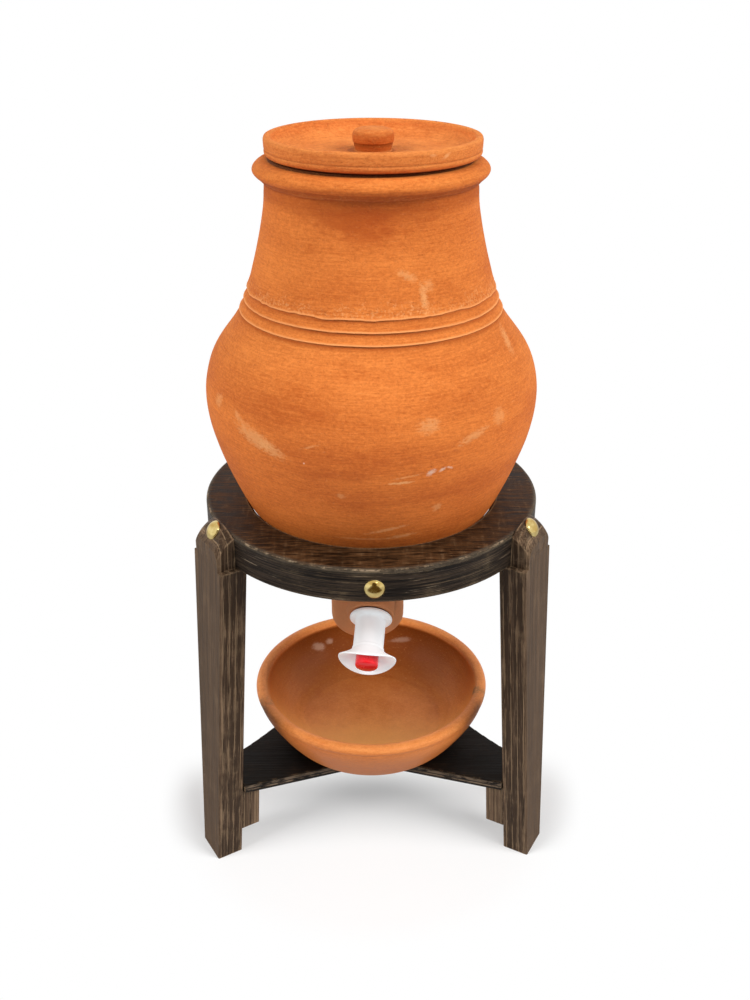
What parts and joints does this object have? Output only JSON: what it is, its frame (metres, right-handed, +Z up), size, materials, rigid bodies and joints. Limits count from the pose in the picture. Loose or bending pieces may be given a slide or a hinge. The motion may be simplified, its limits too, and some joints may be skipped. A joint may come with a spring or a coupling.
{
  "type": "clay water pot with tap",
  "caption": "Clay water pot with a lid and a push-button tap, hung in a wooden ring stand over a loose clay drip bowl.",
  "frame": {"origin": "on the floor, in the middle of the three feet, under the axis that the pot and the ring share", "axes": "+Z up along the pot's axis, -Y towards the front, where the tap is"},
  "size_m": [0.3078, 0.3108, 0.6132],
  "materials": {
    "stained_plywood": "dark stained plywood, worn edges",
    "terracotta": "unglazed, matt",
    "brass": "polished",
    "steel": "zinc plated",
    "white_plastic": "moulded, satin",
    "red_plastic": "moulded, glossy",
    "stem_plastic": "moulded",
    "rubber": "smooth",
    "spring_steel": "stainless wire"
  },
  "bodies": {
    "stand": {"ring": "stained_plywood", "shelf": "stained_plywood", "leg_back": "stained_plywood", "leg_left": "stained_plywood", "leg_right": "stained_plywood", "cleat_back": "stained_plywood", "cleat_left": "stained_plywood", "cleat_right": "stained_plywood", "leg_studs": "brass", "rim_studs": "brass", "cleat_screws": "steel", "shelf_screws": "steel"},
    "pot": {"pot": "terracotta", "tap_body": "white_plastic", "tap_outer_washer": "rubber", "tap_inner_washer": "rubber", "tap_back_nut": "white_plastic", "tap_stem_oring": "rubber", "tap_return_spring": "spring_steel"},
    "valve": {"tap_button": "red_plastic", "tap_stem": "stem_plastic", "tap_valve_seal": "rubber"},
    "lid": {"lid": "terracotta"},
    "bowl": {"drip_bowl": "terracotta"}
  },
  "joints": [
    {"name": "pot_lift", "type": "slide", "parent": "stand", "child": "pot", "axis": [0, 0, 1], "range_m": [0, 0.17]},
    {"name": "lid_lift", "type": "slide", "parent": "pot", "child": "lid", "axis": [0, 0, 1], "range_m": [0, 0.06]},
    {"name": "bowl_slide_out", "type": "slide", "parent": "stand", "child": "bowl", "axis": [0, -1, 0], "range_m": [0, 0.26]},
    {"name": "button_press", "type": "slide", "parent": "pot", "child": "valve", "axis": [0.101, 0.8601, 0.5], "range_m": [0, 0.005], "stiffness_N_per_m": 400, "springref_m": -0.005, "deforming": ["tap_return_spring"]}
  ]
}
